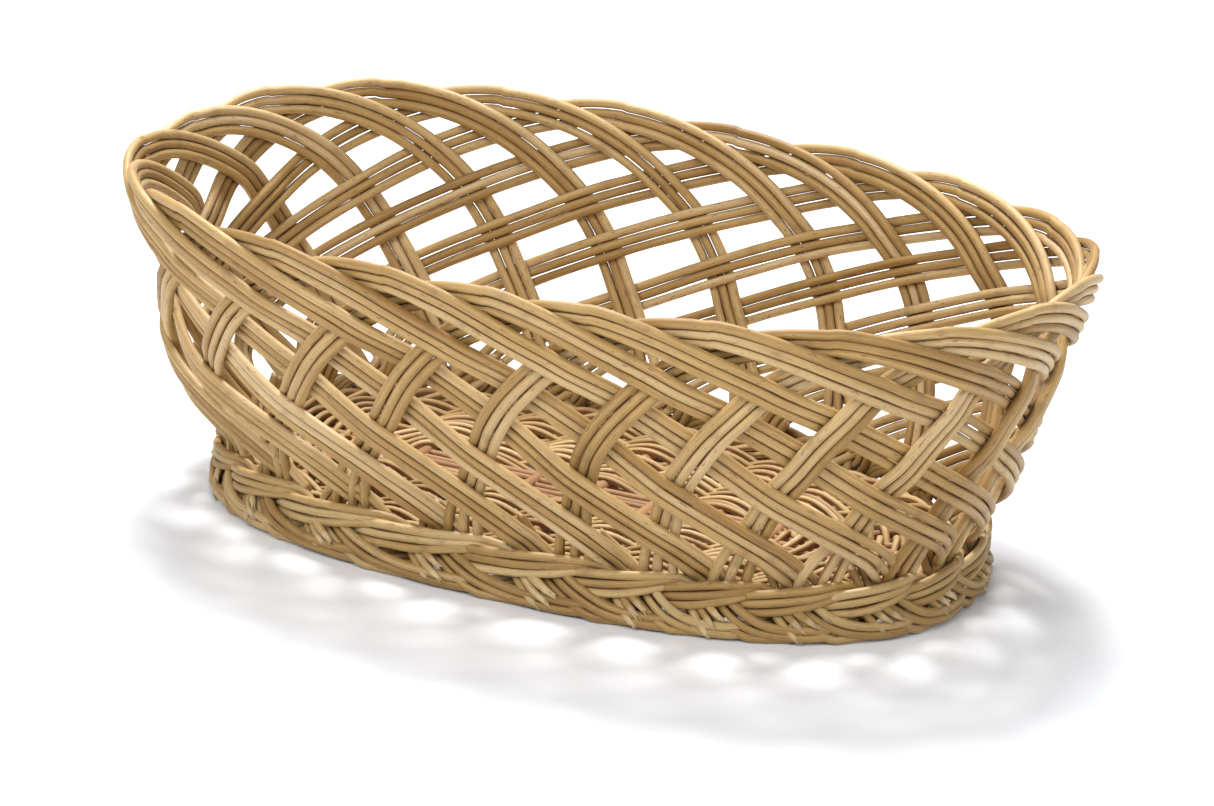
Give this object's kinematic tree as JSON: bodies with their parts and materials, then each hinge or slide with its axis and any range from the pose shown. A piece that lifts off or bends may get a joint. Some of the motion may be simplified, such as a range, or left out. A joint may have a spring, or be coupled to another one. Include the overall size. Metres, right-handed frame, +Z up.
{
  "type": "bread basket",
  "caption": "Oval openwork bread basket of peeled willow rods with a flared, scalloped plaited wall, a woven base and a plaited foot.",
  "frame": {"origin": "on the table plane, at the middle of the foot", "axes": "+X along the length of the basket, +Y across it, +Z up out of its mouth"},
  "size_m": [0.3596, 0.2339, 0.1234],
  "materials": {
    "wall_rods": "peeled willow, satin",
    "foot_rods": "peeled willow, satin, splintery cut ends",
    "base_weavers": "thin peeled willow weavers, matt",
    "base_sticks": "thick peeled willow sticks, matt reddish brown"
  },
  "bodies": {
    "root": {"wall_strand_01": "wall_rods", "wall_strand_02": "wall_rods", "wall_strand_03": "wall_rods", "wall_strand_04": "wall_rods", "wall_strand_05": "wall_rods", "wall_strand_06": "wall_rods", "wall_strand_07": "wall_rods", "wall_strand_08": "wall_rods", "wall_strand_09": "wall_rods", "wall_strand_10": "wall_rods", "wall_strand_11": "wall_rods", "wall_strand_12": "wall_rods", "wall_strand_13": "wall_rods", "wall_strand_14": "wall_rods", "wall_strand_15": "wall_rods", "wall_strand_16": "wall_rods", "wall_strand_17": "wall_rods", "wall_strand_18": "wall_rods", "wall_strand_19": "wall_rods", "wall_strand_20": "wall_rods", "wall_strand_21": "wall_rods", "wall_strand_22": "wall_rods", "foot_plait_01": "foot_rods", "foot_plait_02": "foot_rods", "foot_plait_03": "foot_rods", "foot_plait_04": "foot_rods", "foot_plait_05": "foot_rods", "foot_plait_06": "foot_rods", "foot_plait_07": "foot_rods", "foot_plait_08": "foot_rods", "foot_plait_09": "foot_rods", "foot_plait_10": "foot_rods", "foot_plait_11": "foot_rods", "foot_plait_12": "foot_rods", "foot_plait_13": "foot_rods", "foot_plait_14": "foot_rods", "foot_plait_15": "foot_rods", "foot_plait_16": "foot_rods", "foot_plait_17": "foot_rods", "foot_plait_18": "foot_rods", "foot_plait_19": "foot_rods", "foot_plait_20": "foot_rods", "foot_plait_21": "foot_rods", "foot_plait_22": "foot_rods", "base_cross_sticks": "base_sticks", "base_long_sticks": "base_sticks", "base_end_sticks": "base_sticks", "base_weave_upper": "base_weavers", "base_weave_lower": "base_weavers", "base_wale": "base_weavers"}
  },
  "joints": []
}
